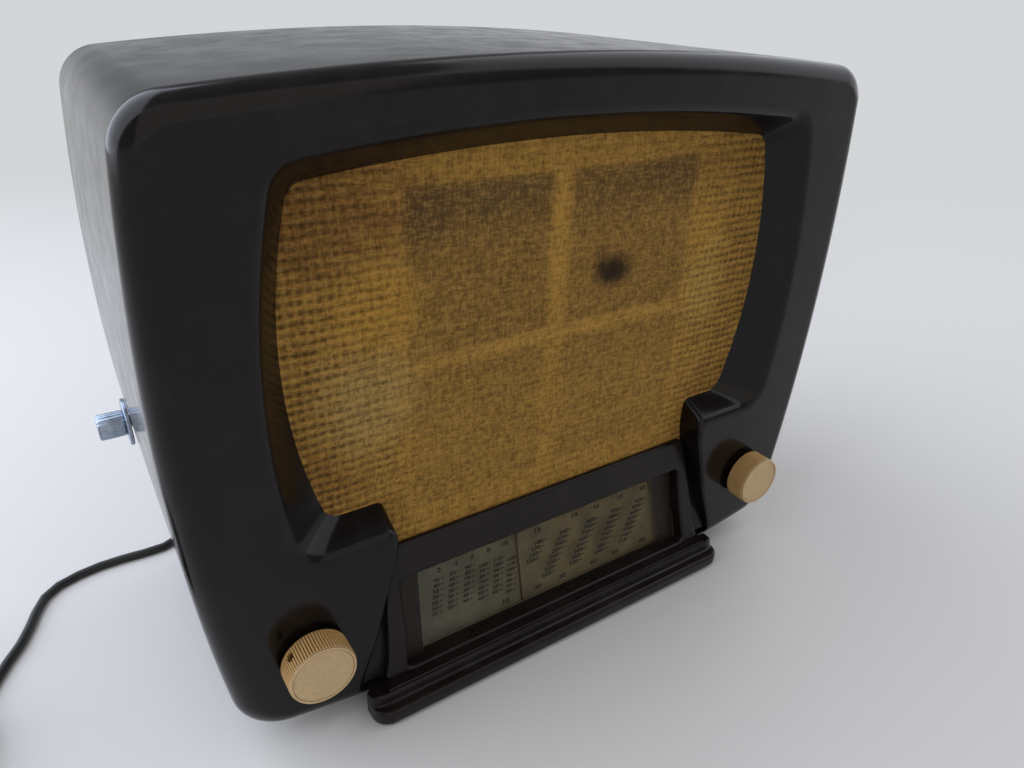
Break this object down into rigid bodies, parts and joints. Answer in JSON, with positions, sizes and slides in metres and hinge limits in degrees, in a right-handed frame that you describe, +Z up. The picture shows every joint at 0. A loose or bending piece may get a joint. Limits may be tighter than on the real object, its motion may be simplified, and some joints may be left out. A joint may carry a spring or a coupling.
{
  "type": "radio receiver",
  "caption": "Table radio in a bowed dark phenolic cabinet with a sunk cloth front, a sloping dial above a plinth bar, ivory knobs, a side control and a mains lead.",
  "frame": {"origin": "on the table, under the middle of the set's box without its lead", "axes": "+X to the right seen from the front, +Y from the front to the back, +Z up"},
  "size_m": [0.5413, 0.2454, 0.3026],
  "materials": {
    "cabinet": "polished dark brown phenolic",
    "plinth": "polished brown phenolic",
    "bezel": "black-brown phenolic",
    "scale": "olive printed glass",
    "backing": "cream card",
    "cloth": "golden tan coarse weave",
    "board": "plywood",
    "plated": "zinc plated steel",
    "screws": "plated screws",
    "basket": "grey paint",
    "cone": "felted paper",
    "magnet": "cast alloy",
    "core": "lacquered laminations",
    "cover": "pressed fibre board",
    "rubber": "black rubber",
    "socket": "brown moulding",
    "bulb": "clear bulb on a dark base",
    "can": "dull aluminium",
    "vane": "bright aluminium",
    "line": "waxed thread",
    "pointer": "red paint",
    "brass": "dull brass",
    "spindle": "turned steel",
    "ivory": "ivory moulding",
    "felt": "brown felt",
    "side_knob": "turned alloy",
    "lamp": "clear bulb",
    "cord": "black rubber lead",
    "plug": "black moulding",
    "pins": "nickelled brass"
  },
  "bodies": {
    "set": {"cabinet": "cabinet", "plinth_bar": "plinth", "dial_bezel": "bezel", "scale_glass": "scale", "dial_backing": "backing", "pointer_rail": "plated", "speaker_cloth": "cloth", "baffle_board": "board", "baffle_screws": "screws", "speaker_basket": "basket", "speaker_cone": "cone", "speaker_magnet": "magnet", "speaker_bolts": "screws", "output_transformer": "core", "rear_cover": "cover", "rear_cover_screws": "screws", "chassis": "plated", "chassis_bolts": "screws", "rubber_feet": "rubber", "mains_transformer": "core", "valve_sockets": "socket", "rectifier_valve": "bulb", "output_valve": "bulb", "detector_valve": "bulb", "amplifier_valve": "bulb", "mixer_valve": "bulb", "first_if_can": "can", "second_if_can": "can", "smoothing_can": "can", "gang_frame": "plated", "gang_stator": "vane", "drive_plate": "plated", "drive_cord": "line", "tuning_bush": "brass", "volume_control": "core", "felt_washers": "felt", "side_bracket": "plated", "side_switch": "brass", "lamp_holders": "brass", "dial_lamps": "lamp", "rear_sockets": "socket", "cord_relief": "rubber", "mains_cord": "cord", "cord_coil": "cord", "plug_body": "plug", "plug_pins": "pins"},
    "tuning": {"tuning_spindle": "spindle", "tuning_knob": "ivory", "tuning_grub_screw": "screws"},
    "gang": {"gang_rotor": "vane", "drive_drum": "plated", "tension_spring": "spindle"},
    "pointer": {"pointer": "pointer"},
    "left_pulley": {"left_pulley": "brass"},
    "right_pulley": {"right_pulley": "brass"},
    "volume": {"volume_spindle": "spindle", "volume_knob": "ivory", "volume_grub_screw": "screws"},
    "side_control": {"side_spindle": "spindle", "side_knob": "side_knob"}
  },
  "joints": [
    {"name": "tuning_turn", "type": "hinge", "parent": "set", "child": "tuning", "pos_m": [0.14775, -0.0469, 0.055], "axis": [0, 1, 0], "range_deg": [-750, 1050]},
    {"name": "gang_turn", "type": "hinge", "parent": "set", "child": "gang", "pos_m": [0.12385, -0.0269, 0.103], "axis": [0, 1, 0], "range_deg": [-75, 105]},
    {"name": "pointer_slide", "type": "slide", "parent": "set", "child": "pointer", "axis": [1, 0, 0], "range_m": [-0.055, 0.077]},
    {"name": "left_pulley_turn", "type": "hinge", "parent": "set", "child": "left_pulley", "pos_m": [-0.09215, -0.0469, 0.0654], "axis": [0, 1, 0], "range_deg": [-216.83, 303.16]},
    {"name": "right_pulley_turn", "type": "hinge", "parent": "set", "child": "right_pulley", "pos_m": [0.07585, -0.0469, 0.0842], "axis": [0, 1, 0], "range_deg": [-1051.42, 751.3]},
    {"name": "volume_turn", "type": "hinge", "parent": "set", "child": "volume", "pos_m": [-0.13605, -0.0469, 0.055], "axis": [0, 1, 0], "range_deg": [0, 280]},
    {"name": "side_control_turn", "type": "hinge", "parent": "set", "child": "side_control", "pos_m": [-0.17415, 0.0751, 0.11], "axis": [1, 0, 0], "range_deg": [0, 90]}
  ],
  "couplings": [
    {"joint": "gang_turn", "follows": "tuning_turn", "ratio": 0.1},
    {"joint": "pointer_slide", "follows": "tuning_turn", "m_per_rad": 0.0042017},
    {"joint": "left_pulley_turn", "follows": "tuning_turn", "ratio": 0.28777},
    {"joint": "right_pulley_turn", "follows": "tuning_turn", "ratio": -1.0004}
  ]
}
